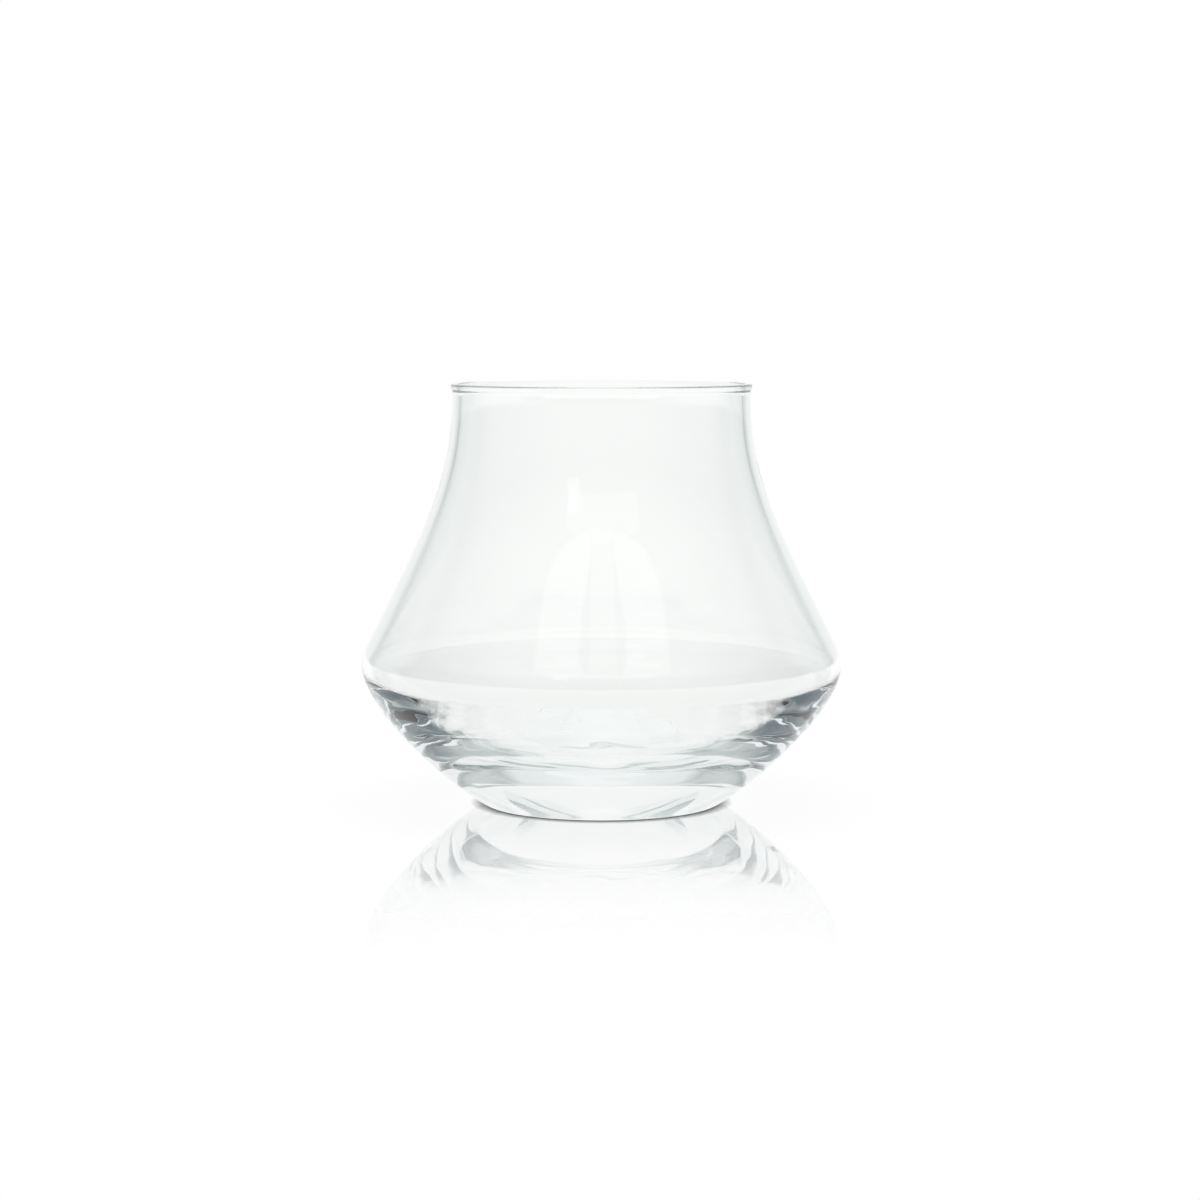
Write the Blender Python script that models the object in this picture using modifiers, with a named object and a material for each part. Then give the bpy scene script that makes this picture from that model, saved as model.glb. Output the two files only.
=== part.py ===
"""A low tumbler of clear glass: a heavy foot, a wide belly and a drawn-in neck, blown as one piece.

Metres, +Z up. The origin is the middle of the foot, on the table. The glass is round about +Z, so the
model is one section in the XZ plane, turned through a full circle.
"""

import math

import bmesh
import bpy
from mathutils import Vector
from mathutils.geometry import interpolate_bezier

# Outside sizes
HEIGHT = 0.0832
RIM_DIAMETER = 0.0594
NECK_DIAMETER = 0.0588
BELLY_DIAMETER = 0.0950
FOOT_DIAMETER = 0.0456
BELLY_HEIGHT = 0.0279
LIP_HEIGHT = 0.0016

# Thickness of the glass, height of the rim's rounded top, and height of the floor's middle inside
RIM_THICKNESS = 0.0016
RIM_ROUNDING = 0.0004
WALL = 0.00172
FLOOR_HEIGHT = 0.00465

# The foot stands on a narrow flat ring, with the middle pushed up a little
RING_WIDTH = 0.0040
PUSH_UP = 0.0012

# The belly is a round arc in section, which runs this far below and above its widest point. Inside it
# runs further down, to the slope of the bowl, where the glass gets thicker towards the foot.
BELLY_RADIUS = 0.0075
BELLY_BELOW = math.radians(12.0)
BELLY_ABOVE = math.radians(27.5)
INSIDE_BELOW = math.radians(33.0)

# How far each curve runs on in the direction of its end before it bends away. The heel's is a length,
# and the others are shares of the distance between the curve's two ends.
HEEL_REACH = 0.0020
BOWL_PULL = 0.30
FLANK_PULL = 0.569
NECK_PULL = 0.282
LIP_PULL = 0.45
SLOPE_PULL = 0.21
FLOOR_PULL = 0.55
PUSH_UP_PULL = 0.50

# Divisions of each curve in the section, and of the full turn
BOWL_POINTS = 10
BELLY_BELOW_POINTS = 3
BELLY_POINTS = 5
INSIDE_POINTS = 10
FLANK_POINTS = 11
LIP_POINTS = 4
RIM_POINTS = 7
FLOOR_POINTS = 14
PUSH_UP_POINTS = 5
TURN_STEPS = 64

MERGE_DISTANCE = 0.00001
GLASS_COLOUR = (0.93, 0.95, 0.945, 1.0)
GLASS_IOR = 1.52
GLASS_ROUGHNESS = 0.02


def direction(angle):
    """The unit vector at that angle above the section's radial axis."""
    return Vector((math.cos(angle), math.sin(angle)))


def curve(start, start_way, start_pull, end, end_way, end_pull, points):
    """A smooth curve that leaves start along start_way and arrives at end along end_way."""
    span = (end - start).length
    start_handle = start + start_way * span * start_pull
    end_handle = end - end_way * span * end_pull
    return [Vector(p) for p in interpolate_bezier(start, start_handle, end_handle, end, points)]


def arc(centre, radius, start_angle, end_angle, points):
    step = (end_angle - start_angle) / (points - 1)
    return [centre + direction(start_angle + step * i) * radius for i in range(points)]


def joined(*curves):
    """The curves end to end, with each shared end point kept once."""
    line = []
    for points in curves:
        line += points if not line else points[1:]
    return line


def inset(line, depth):
    """The line moved by depth to its left, square to itself at every point."""
    moved = []
    for i, point in enumerate(line):
        along = (line[min(i + 1, len(line) - 1)] - line[max(i - 1, 0)]).normalized()
        moved.append(point + Vector((-along.y, along.x)) * depth)
    return moved


UPWARD = direction(math.pi / 2)
OUTWARD = direction(0.0)


def outside_foot():
    """From the axis, over the pushed-up middle, the flat ring and the bowl, to the belly arc's lower end."""
    ring_outer = Vector((FOOT_DIAMETER / 2, 0.0))
    ring_inner = ring_outer - OUTWARD * RING_WIDTH
    middle = Vector((0.0, PUSH_UP))
    push_up = curve(middle, OUTWARD, PUSH_UP_PULL, ring_inner, OUTWARD, PUSH_UP_PULL, PUSH_UP_POINTS)
    belly_low = belly_centre() + direction(-BELLY_BELOW) * BELLY_RADIUS
    heel_pull = HEEL_REACH / (belly_low - ring_outer).length
    belly_way = direction(math.pi / 2 - BELLY_BELOW)
    bowl = curve(ring_outer, OUTWARD, heel_pull, belly_low, belly_way, BOWL_PULL, BOWL_POINTS)
    return joined(push_up, [ring_inner, ring_outer], bowl)


def belly_centre():
    return Vector((BELLY_DIAMETER / 2 - BELLY_RADIUS, BELLY_HEIGHT))


def neck_point():
    return Vector((NECK_DIAMETER / 2, HEIGHT - LIP_HEIGHT))


def outside_flank():
    """From the belly arc's upper end to the neck, where the wall stands upright."""
    belly_high = belly_centre() + direction(BELLY_ABOVE) * BELLY_RADIUS
    belly_way = direction(math.pi / 2 + BELLY_ABOVE)
    return curve(belly_high, belly_way, FLANK_PULL, neck_point(), UPWARD, NECK_PULL, FLANK_POINTS)


def rim():
    """From the neck, out to the melted bead of the lip, over its low round top and back to the neck inside."""
    bead = Vector((RIM_DIAMETER / 2 - RIM_THICKNESS / 2, HEIGHT - RIM_ROUNDING))
    neck_inside = neck_point() - OUTWARD * WALL
    half_round = arc(Vector((0.0, 0.0)), 1.0, 0.0, math.pi, RIM_POINTS)
    over = [bead + Vector((p.x * RIM_THICKNESS / 2, p.y * RIM_ROUNDING)) for p in half_round]
    up = curve(neck_point(), UPWARD, LIP_PULL, over[0], UPWARD, LIP_PULL, LIP_POINTS)
    down = curve(over[-1], -UPWARD, LIP_PULL, neck_inside, -UPWARD, LIP_PULL, LIP_POINTS)
    return joined(up, over, down)


def inside_bowl():
    """From the belly inside, down the slope of the thick bowl, to the middle of the floor on the axis."""
    slope_top = belly_centre() + direction(-INSIDE_BELOW) * (BELLY_RADIUS - WALL)
    slope_way = direction(-math.pi / 2 - INSIDE_BELOW)
    middle = Vector((0.0, FLOOR_HEIGHT))
    return curve(slope_top, slope_way, SLOPE_PULL, middle, -OUTWARD, FLOOR_PULL, FLOOR_POINTS)


def section():
    """The whole outline, from the axis under the foot, up the outside, over the rim and down to the floor."""
    belly_below = arc(belly_centre(), BELLY_RADIUS, -BELLY_BELOW, 0.0, BELLY_BELOW_POINTS)
    belly_above = arc(belly_centre(), BELLY_RADIUS, 0.0, BELLY_ABOVE, BELLY_POINTS)
    belly_inside = arc(belly_centre(), BELLY_RADIUS - WALL, BELLY_ABOVE, -INSIDE_BELOW, INSIDE_POINTS)
    flank = outside_flank()
    flank_inside = inset(flank, WALL)[::-1]
    flank_inside[0] = neck_point() - OUTWARD * WALL
    flank_inside[-1] = belly_inside[0]
    belly = joined(belly_below, belly_above)
    return joined(outside_foot(), belly, flank, rim(), flank_inside, belly_inside, inside_bowl())


def glass_material():
    material = bpy.data.materials.new("clear_glass")
    material.use_nodes = True
    shader = material.node_tree.nodes["Principled BSDF"]
    shader.inputs["Base Color"].default_value = GLASS_COLOUR
    shader.inputs["Roughness"].default_value = GLASS_ROUGHNESS
    shader.inputs["Metallic"].default_value = 0.0
    shader.inputs["IOR"].default_value = GLASS_IOR
    shader.inputs["Transmission Weight"].default_value = 1.0
    return material


def turned(name, line, collection):
    """The line, spun about +Z. It runs down its outer side, so that the faces point out."""
    mesh = bpy.data.meshes.new(name)
    bm = bmesh.new()
    points = [bm.verts.new((p.x, 0.0, p.y)) for p in reversed(line)]
    for start, end in zip(points, points[1:]):
        bm.edges.new((start, end))
    bm.to_mesh(mesh)
    bm.free()
    piece = bpy.data.objects.new(name, mesh)
    collection.objects.link(piece)
    screw = piece.modifiers.new("turn", "SCREW")
    screw.axis = "Z"
    screw.steps = TURN_STEPS
    screw.render_steps = TURN_STEPS
    screw.use_merge_vertices = True
    screw.merge_threshold = MERGE_DISTANCE
    screw.use_smooth_shade = True
    return piece


def main():
    for old in list(bpy.data.objects):
        bpy.data.objects.remove(old)
    collection = bpy.data.collections.new("tumbler")
    bpy.context.scene.collection.children.link(collection)
    vessel = turned("tumbler_glass", section(), collection)
    vessel.data.materials.append(glass_material())


if __name__ == "__main__":
    main()
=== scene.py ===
import math

import bmesh
import bpy
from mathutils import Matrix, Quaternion, Vector, noise
from mathutils.geometry import interpolate_bezier


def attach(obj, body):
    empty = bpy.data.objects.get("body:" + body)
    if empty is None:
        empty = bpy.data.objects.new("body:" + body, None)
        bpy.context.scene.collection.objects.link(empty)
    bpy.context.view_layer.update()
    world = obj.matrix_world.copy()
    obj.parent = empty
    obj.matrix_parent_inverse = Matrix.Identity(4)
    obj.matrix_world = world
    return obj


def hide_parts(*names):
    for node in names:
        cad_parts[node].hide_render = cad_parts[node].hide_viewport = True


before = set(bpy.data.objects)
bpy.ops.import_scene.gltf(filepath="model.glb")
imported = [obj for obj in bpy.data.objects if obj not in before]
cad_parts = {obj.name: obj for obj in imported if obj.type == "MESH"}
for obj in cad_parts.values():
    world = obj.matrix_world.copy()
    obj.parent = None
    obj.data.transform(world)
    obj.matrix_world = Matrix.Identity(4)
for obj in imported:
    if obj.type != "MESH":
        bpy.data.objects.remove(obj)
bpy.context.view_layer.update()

scene = bpy.context.scene

# The tumbler: a low drinking glass of clear soda-lime glass, blown into a turning mould in one piece.
# The foot is left heavy, the wall thins from the belly to the neck, and the cut rim is melted round.
# Lengths are in metres and angles in degrees.
glass_height = 0.0832
rim_radius = 0.0297
neck_radius = 0.0294
belly_radius = 0.0475
foot_radius = 0.0228
belly_height = 0.0279
lip_height = 0.0016
rim_thickness = 0.0016
rim_rounding = 0.0004
wall_thickness = 0.00172
floor_height = 0.00465
foot_ring_width = 0.0040
push_up_height = 0.0012
belly_round = 0.0075
belly_starts = -12.0
belly_ends = 27.5
slope_starts = -33.0

# How far each curve runs on in the direction of its end before it bends away.
heel_reach = 0.0020
bowl_reach = 0.0108
flank_reach = 0.0302
neck_reach = 0.0150
lip_reach = 0.00055
slope_reach = 0.0103
floor_reach = 0.0270

# Points along each curve of the section, and steps round the glass.
push_up_points = 12
bowl_points = 36
belly_points = 21
flank_points = 44
lip_points = 8
bead_points = 19
belly_inside_points = 26
floor_points = 56
turn_steps = 256
merge_distance = 0.000002


def along(degrees):
    """The unit vector at that angle above the section's radial axis."""
    return Vector((math.cos(math.radians(degrees)), math.sin(math.radians(degrees))))


def flowing_line(start, start_angle, start_reach, end, end_angle, end_reach, count):
    """Points on a smooth curve that leaves and arrives at the given angles."""
    leave = start + along(start_angle) * start_reach
    arrive = end - along(end_angle) * end_reach
    return [Vector(point) for point in interpolate_bezier(start, leave, arrive, end, count)]


def round_line(centre, radius, first, last, count):
    """Points on an arc about the centre, from one angle to the other."""
    return [centre + along(first + (last - first) * i / (count - 1)) * radius for i in range(count)]


belly_centre = Vector((belly_radius - belly_round, belly_height))
ring_outer = Vector((foot_radius, 0.0))
ring_inner = Vector((foot_radius - foot_ring_width, 0.0))
push_up_reach = 0.5 * ring_inner.x
push_up = flowing_line(
    Vector((0.0, push_up_height)), 0.0, push_up_reach, ring_inner, 0.0, push_up_reach, push_up_points)
belly = round_line(belly_centre, belly_round, belly_starts, belly_ends, belly_points)
bowl = flowing_line(ring_outer, 0.0, heel_reach, belly[0], 90 + belly_starts, bowl_reach, bowl_points)
neck = Vector((neck_radius, glass_height - lip_height))
flank = flowing_line(belly[-1], 90 + belly_ends, flank_reach, neck, 90.0, neck_reach, flank_points)
bead_centre = Vector((rim_radius - rim_thickness / 2, glass_height - rim_rounding))
half_round = round_line(Vector((0.0, 0.0)), 1.0, 0.0, 180.0, bead_points)
bead = [bead_centre + Vector((point.x * rim_thickness / 2, point.y * rim_rounding)) for point in half_round]
lip = flowing_line(neck, 90.0, lip_reach, bead[0], 90.0, lip_reach, lip_points)
neck_inside = neck - Vector((wall_thickness, 0.0))
lip_inside = flowing_line(bead[-1], -90.0, lip_reach, neck_inside, -90.0, lip_reach, lip_points)
flank_inside = [neck_inside]
for below, here, above in reversed(list(zip(flank, flank[1:], flank[2:]))):
    upward = (above - below).normalized()
    flank_inside.append(here + Vector((-upward.y, upward.x)) * wall_thickness)
belly_inside = round_line(
    belly_centre, belly_round - wall_thickness, belly_ends, slope_starts, belly_inside_points)
floor_middle = Vector((0.0, floor_height))
floor_line = flowing_line(
    belly_inside[-1], slope_starts - 90, slope_reach, floor_middle, 180.0, floor_reach, floor_points)

section = push_up + [ring_outer] + bowl[1:] + belly[1:] + flank[1:] + lip[1:] + bead[1:]
section += lip_inside[1:] + flank_inside[1:] + belly_inside + floor_line[1:]

tumbler_mesh = bmesh.new()
section_points = [tumbler_mesh.verts.new((point.x, 0.0, point.y)) for point in section]
for start, end in zip(section_points, section_points[1:]):
    tumbler_mesh.edges.new((start, end))
bmesh.ops.spin(
    tumbler_mesh, geom=tumbler_mesh.verts[:] + tumbler_mesh.edges[:], axis=(0, 0, 1), cent=(0, 0, 0),
    angle=math.tau, steps=turn_steps, use_merge=True)
bmesh.ops.remove_doubles(tumbler_mesh, verts=tumbler_mesh.verts, dist=merge_distance)
bmesh.ops.recalc_face_normals(tumbler_mesh, faces=tumbler_mesh.faces)

# The blown inside of the thick bowl never touches a mould, so it runs in slow waves round the glass.
wave_length = 0.012
wave_rise = 0.003
wave_depth = 0.00004
wave_top = 0.027
wave_full = 0.020
fine_wave_share = 0.5
fine_wave_times = 2.3
upward_normal = 0.02
inside_radius = belly_radius - wall_thickness
tumbler_mesh.normal_update()
for vert in tumbler_mesh.verts:
    if vert.normal.z > upward_normal and vert.co.z < wave_top and vert.co.xy.length < inside_radius:
        fullness = min(1.0, (wave_top - vert.co.z) / (wave_top - wave_full))
        spot = Vector((vert.co.x / wave_length, vert.co.y / wave_length, vert.co.z / wave_rise))
        swell = noise.noise(spot) + fine_wave_share * noise.noise(spot * fine_wave_times)
        vert.co += vert.normal * swell * fullness * wave_depth

tumbler_data = bpy.data.meshes.new("tumbler")
tumbler_mesh.to_mesh(tumbler_data)
tumbler_mesh.free()
tumbler_data.shade_smooth()
tumbler = bpy.data.objects.new("tumbler", tumbler_data)
scene.collection.objects.link(tumbler)


def linear(hex_colour):
    """The linear colour of an sRGB hex value."""
    parts = [int(hex_colour[i:i + 2], 16) / 255 for i in (0, 2, 4)]
    return [part / 12.92 if part <= 0.04045 else ((part + 0.055) / 1.055) ** 2.4 for part in parts] + [1.0]


def add_node(tree, kind, settings=None, links=None):
    """A new node with its settings, whether sockets or properties, and its input links."""
    node = tree.nodes.new(kind)
    for name, value in (settings or {}).items():
        if isinstance(name, str) and hasattr(node, name):
            setattr(node, name, value)
        else:
            node.inputs[name].default_value = value
    for name, source in (links or {}).items():
        tree.links.new(source, node.inputs[name])
    return node


# Clear soda-lime glass with a fire-polished skin: it bends and mirrors its surroundings sharply, looks
# faintly grey-green only where the eye goes through a lot of it, and has a slow ripple and a trace of film.
clear_glass = bpy.data.materials.new("blown_soda_lime_glass")
clear_glass.use_nodes = True
tree = clear_glass.node_tree
tree.nodes.clear()
place = add_node(tree, "ShaderNodeTexCoord")
film_size = 0.018
film_starts = 0.35
film_full = 0.75
clean_roughness = 0.005
film_covered_roughness = 0.014
film = add_node(
    tree, "ShaderNodeTexNoise", {"Scale": 1 / film_size, "Detail": 2.0},
    {"Vector": place.outputs["Object"]})
film_roughness = add_node(
    tree, "ShaderNodeMapRange",
    {"From Min": film_starts, "From Max": film_full,
     "To Min": clean_roughness, "To Max": film_covered_roughness},
    {"Value": film.outputs["Fac"]})
ripple_size = 0.009
ripple_depth = 0.0002
ripple_strength = 0.05
ripple = add_node(
    tree, "ShaderNodeTexNoise", {"Scale": 1 / ripple_size, "Detail": 1.0},
    {"Vector": place.outputs["Object"]})
ripple_bump = add_node(
    tree, "ShaderNodeBump", {"Strength": ripple_strength, "Distance": ripple_depth},
    {"Height": ripple.outputs["Fac"]})
glass_shader = add_node(
    tree, "ShaderNodeBsdfPrincipled",
    {"Base Color": linear("FEFFFE"), "IOR": 1.52, "Transmission Weight": 1.0},
    {"Roughness": film_roughness.outputs["Result"], "Normal": ripple_bump.outputs["Normal"]})
glass_depth = add_node(
    tree, "ShaderNodeVolumeAbsorption", {"Color": linear("C3D7DA"), "Density": 2.5})
add_node(
    tree, "ShaderNodeOutputMaterial", {},
    {"Surface": glass_shader.outputs["BSDF"], "Volume": glass_depth.outputs["Volume"]})
tumbler_data.materials.append(clear_glass)
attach(tumbler, "root")
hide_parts("tumbler_glass")

# The table: a sheet of polished white acrylic, a hair below the foot, much wider than the view. It mirrors
# the glass where it stands, and the mirror image fades out 15 cm from the middle.
table_width = 1.6
table_length = 2.4
table_gap = 0.00005
mirror_strength = 0.85
mirror_near = 0.022
mirror_far = 0.150
glow_near = 0.85
shade_near = 0.93
shadow_near = 0.05
shadow_far = 0.25
contact_near = 0.0226
contact_far = 0.0262
table_mesh = bmesh.new()
bmesh.ops.create_grid(table_mesh, x_segments=2, y_segments=2, size=0.5)
bmesh.ops.scale(table_mesh, verts=table_mesh.verts, vec=(table_width, table_length, 1))
bmesh.ops.translate(table_mesh, verts=table_mesh.verts, vec=(0, 0, -table_gap))
table_data = bpy.data.meshes.new("table")
table_mesh.to_mesh(table_data)
table_mesh.free()
table = bpy.data.objects.new("table", table_data)
scene.collection.objects.link(table)

# To the camera the sheet is mostly an even white, and its lit share, larger near the glass, keeps the
# shadow. In the glass it is white too, made a little darker near the foot by painted shade. The contact
# shade is a painted shadow: a dark sheet in a thin ring where the foot meets its own mirror image.
acrylic = bpy.data.materials.new("polished_white_acrylic")
acrylic.use_nodes = True
tree = acrylic.node_tree
tree.nodes.clear()
place = add_node(tree, "ShaderNodeTexCoord")
distance = add_node(
    tree, "ShaderNodeVectorMath", {"operation": "LENGTH"}, {"Vector": place.outputs["Object"]})
mirror_share = add_node(
    tree, "ShaderNodeMapRange",
    {"From Min": mirror_near, "From Max": mirror_far, "To Min": mirror_strength, "To Max": 0.0},
    {"Value": distance.outputs["Value"]})
white_sheet = add_node(tree, "ShaderNodeBsdfDiffuse", {"Color": linear("F6F6F6")})
shine = add_node(tree, "ShaderNodeBsdfGlossy", {"Color": linear("FFFFFF"), "Roughness": 0.0})
# Painted shade: the glow that the glass sees on the sheet is dimmed near the foot.
shade = add_node(
    tree, "ShaderNodeMapRange",
    {"From Min": shadow_near, "From Max": shadow_far, "To Min": shade_near, "To Max": 1.0},
    {"Value": distance.outputs["Value"]})
glow_share = add_node(
    tree, "ShaderNodeMapRange",
    {"From Min": shadow_near, "From Max": shadow_far, "To Min": glow_near, "To Max": 1.0},
    {"Value": distance.outputs["Value"]})
seen = add_node(tree, "ShaderNodeLightPath")
glow_level = add_node(
    tree, "ShaderNodeMath", {"operation": "MAXIMUM"},
    {0: seen.outputs["Is Camera Ray"], 1: shade.outputs["Result"]})
glow = add_node(
    tree, "ShaderNodeEmission", {"Color": linear("FFFFFF")}, {"Strength": glow_level.outputs["Value"]})
direct_glow = add_node(
    tree, "ShaderNodeMath", {"operation": "MULTIPLY"},
    {0: seen.outputs["Is Camera Ray"], 1: glow_share.outputs["Result"]})
direct_mirror = add_node(
    tree, "ShaderNodeMath", {"operation": "MULTIPLY"},
    {0: seen.outputs["Is Camera Ray"], 1: mirror_share.outputs["Result"]})
mirrored = add_node(
    tree, "ShaderNodeMath", {"operation": "MAXIMUM"},
    {0: seen.outputs["Is Glossy Ray"], 1: seen.outputs["Is Transmission Ray"]})
all_glow = add_node(
    tree, "ShaderNodeMath", {"operation": "MAXIMUM"},
    {0: mirrored.outputs["Value"], 1: direct_glow.outputs["Value"]})
sheet_or_glow = add_node(
    tree, "ShaderNodeMixShader", {},
    {0: all_glow.outputs["Value"], 1: white_sheet.outputs["BSDF"], 2: glow.outputs["Emission"]})
table_surface = add_node(
    tree, "ShaderNodeMixShader", {},
    {0: direct_mirror.outputs["Value"], 1: sheet_or_glow.outputs["Shader"], 2: shine.outputs["BSDF"]})
# Painted contact shadow: a dark sheet in a thin ring round the foot, seen by the camera only.
contact_share = add_node(
    tree, "ShaderNodeMapRange",
    {"From Min": contact_near, "From Max": contact_far, "To Min": 1.0, "To Max": 0.0},
    {"Value": distance.outputs["Value"]})
direct_contact = add_node(
    tree, "ShaderNodeMath", {"operation": "MULTIPLY"},
    {0: seen.outputs["Is Camera Ray"], 1: contact_share.outputs["Result"]})
painted_contact_shadow = add_node(tree, "ShaderNodeBsdfDiffuse", {"Color": linear("4A4E52")})
table_and_contact = add_node(
    tree, "ShaderNodeMixShader", {},
    {0: direct_contact.outputs["Value"], 1: table_surface.outputs["Shader"],
     2: painted_contact_shadow.outputs["BSDF"]})
add_node(tree, "ShaderNodeOutputMaterial", {}, {"Surface": table_and_contact.outputs["Shader"]})
table_data.materials.append(acrylic)

# The studio: a white backdrop that greys to its sides, dark walls, a grey room behind the camera and a pale
# ceiling, all in the world. The camera and the table's perfect mirror see it white, and the glass, which is
# never quite smooth, sees it as it is. Its wall and floor colours go by the turn off the back, in degrees.
wall_colours = (
    (0, "FFFFFF"), (6, "FFFFFF"), (14, "F3F5F5"), (28, "EEF1F1"), (35, "B4BCBE"), (43, "CCD1D1"),
    (60, "B4BABA"), (72, "3E545E"), (105, "24434E"), (150, "A0A5A6"), (180, "A0A5A6"))
floor_colours = (
    (0, "FFFFFF"), (6, "FFFFFF"), (14, "F3F5F5"), (28, "EEF1F1"), (35, "C4CACC"), (43, "DCE0E0"),
    (60, "E8ECEC"), (110, "E8ECEC"), (140, "7A8082"), (180, "7A8082"))
ceiling_colour = "D2D5D5"
horizon_fade = 0.5
wall_top = 22.0
backdrop_top = 65.0
ceiling_fade = 20.0
backdrop_side = 30.0
wall_side = 40.0
studio = bpy.data.worlds.new("white_studio")
scene.world = studio
studio.use_nodes = True
tree = studio.node_tree
tree.nodes.clear()
toward = add_node(tree, "ShaderNodeTexCoord")
parts = add_node(tree, "ShaderNodeSeparateXYZ", {}, {"Vector": toward.outputs["Generated"]})
rise = add_node(tree, "ShaderNodeMath", {"operation": "ARCSINE"}, {0: parts.outputs["Z"]})
turn = add_node(
    tree, "ShaderNodeMath", {"operation": "ARCTAN2"}, {0: parts.outputs["X"], 1: parts.outputs["Y"]})
turn_off_back = add_node(tree, "ShaderNodeMath", {"operation": "ABSOLUTE"}, {0: turn.outputs["Value"]})
half_turn = add_node(
    tree, "ShaderNodeMath", {"operation": "DIVIDE", 1: math.pi}, {0: turn_off_back.outputs["Value"]})
bands = []
for colours in (floor_colours, wall_colours):
    band = add_node(tree, "ShaderNodeValToRGB", {}, {"Fac": half_turn.outputs["Value"]})
    stops = band.color_ramp.elements
    stops[0].color = linear(colours[0][1])
    stops[1].color = linear(colours[-1][1])
    for angle, colour in colours[1:-1]:
        stops.new(angle / 180).color = linear(colour)
    bands.append(band)
fades = {}
for name, angle, first, last in (
        ("above_floor", rise, -horizon_fade, horizon_fade),
        ("aside", turn_off_back, backdrop_side, wall_side),
        ("above_backdrop", rise, backdrop_top, backdrop_top + ceiling_fade),
        ("above_walls", rise, wall_top, wall_top + ceiling_fade)):
    fade = add_node(
        tree, "ShaderNodeMapRange", {"From Min": math.radians(first), "From Max": math.radians(last)},
        {"Value": angle.outputs["Value"]})
    fades[name] = fade.outputs["Result"]
around = add_node(
    tree, "ShaderNodeMixRGB", {},
    {"Fac": fades["above_floor"], "Color1": bands[0].outputs["Color"], "Color2": bands[1].outputs["Color"]})
ceiling_share = add_node(
    tree, "ShaderNodeMix", {"data_type": "FLOAT"},
    {"Factor": fades["aside"], "A": fades["above_backdrop"], "B": fades["above_walls"]})
room = add_node(
    tree, "ShaderNodeMixRGB", {"Color2": linear(ceiling_colour)},
    {"Fac": ceiling_share.outputs["Result"], "Color1": around.outputs["Color"]})
seen = add_node(tree, "ShaderNodeLightPath")
off_table = add_node(
    tree, "ShaderNodeMath", {"operation": "MINIMUM"},
    {0: seen.outputs["Is Glossy Ray"], 1: seen.outputs["Is Singular Ray"]})
seen_white = add_node(
    tree, "ShaderNodeMath", {"operation": "MAXIMUM"},
    {0: seen.outputs["Is Camera Ray"], 1: off_table.outputs["Value"]})
shown = add_node(
    tree, "ShaderNodeMixRGB", {"Color2": linear("FFFFFF")},
    {"Fac": seen_white.outputs["Value"], "Color1": room.outputs["Color"]})
light = add_node(tree, "ShaderNodeBackground", {"Strength": 1.0}, {"Color": shown.outputs["Color"]})
add_node(tree, "ShaderNodeOutputWorld", {}, {"Surface": light.outputs["Background"]})

# The lamps: a big soft box straight above for the shadow, which the glass doesn't show, and smaller soft
# boxes and a strip high behind the camera, which show as pale windows on the front of the glass. Each has a
# shape, turn off the front, height and roll in degrees, width, length, distance and brightness.
lamp_aim = Vector((0.0, 0.0, 0.05))
for name, shape, turned, raised, rolled, width, length, away, level, in_glass in (
        ("overhead_soft_box", "RECTANGLE", 0.0, 90.0, 0.0, 1.0, 1.0, 1.2, 3.2, False),
        ("middle_soft_box", "RECTANGLE", 1.0, 35.9, 0.0, 0.78, 0.17, 1.0, 0.30, True),
        ("centre_soft_box", "RECTANGLE", 0.7, 42.4, 0.0, 0.20, 0.12, 1.0, 0.24, True),
        ("left_soft_box", "ELLIPSE", -23.0, 43.3, -6.0, 0.42, 0.13, 1.0, 0.33, True),
        ("right_soft_box", "ELLIPSE", 24.5, 43.3, 6.0, 0.42, 0.13, 1.0, 0.33, True),
        ("strip_lamp", "RECTANGLE", -21.0, 30.0, 0.0, 0.13, 0.17, 1.0, 0.5, True)):
    across = math.cos(math.radians(raised))
    out = Vector((
        math.sin(math.radians(turned)) * across, -math.cos(math.radians(turned)) * across,
        math.sin(math.radians(raised))))
    lamp_data = bpy.data.lights.new(name, "AREA")
    lamp_data.shape = shape
    lamp_data.size = width
    lamp_data.size_y = length
    lamp_data.energy = level * math.pi * width * length
    lamp = bpy.data.objects.new(name, lamp_data)
    lamp.location = lamp_aim + out * away
    roll = Quaternion((0, 0, 1), math.radians(rolled))
    lamp.rotation_euler = (out.to_track_quat("Z", "Y") @ roll).to_euler()
    lamp.visible_glossy = in_glass
    lamp.visible_transmission = in_glass
    scene.collection.objects.link(lamp)

# The camera: a long lens in front of the glass, a little above the rim, as the photograph shows both edges
# of the rim. It aims at about the middle of the glass.
camera_side = -0.0003
camera_back = 0.600
camera_height = 0.0980
aim_height = 0.04036
camera_data = bpy.data.cameras.new("camera")
camera_data.sensor_width = 36.0
camera_data.lens = 91.2
camera = bpy.data.objects.new("camera", camera_data)
camera.location = (camera_side, -camera_back, camera_height)
aim = Vector((camera_side, 0.0, aim_height)) - camera.location
camera.rotation_euler = aim.to_track_quat("-Z", "Y").to_euler()
scene.collection.objects.link(camera)
scene.camera = camera

# Light goes through the heavy foot in many turns before it comes out.
glass_bounces = 48
scene.cycles.max_bounces = glass_bounces
scene.cycles.glossy_bounces = glass_bounces
scene.cycles.transmission_bounces = glass_bounces
scene.view_settings.view_transform = "Standard"
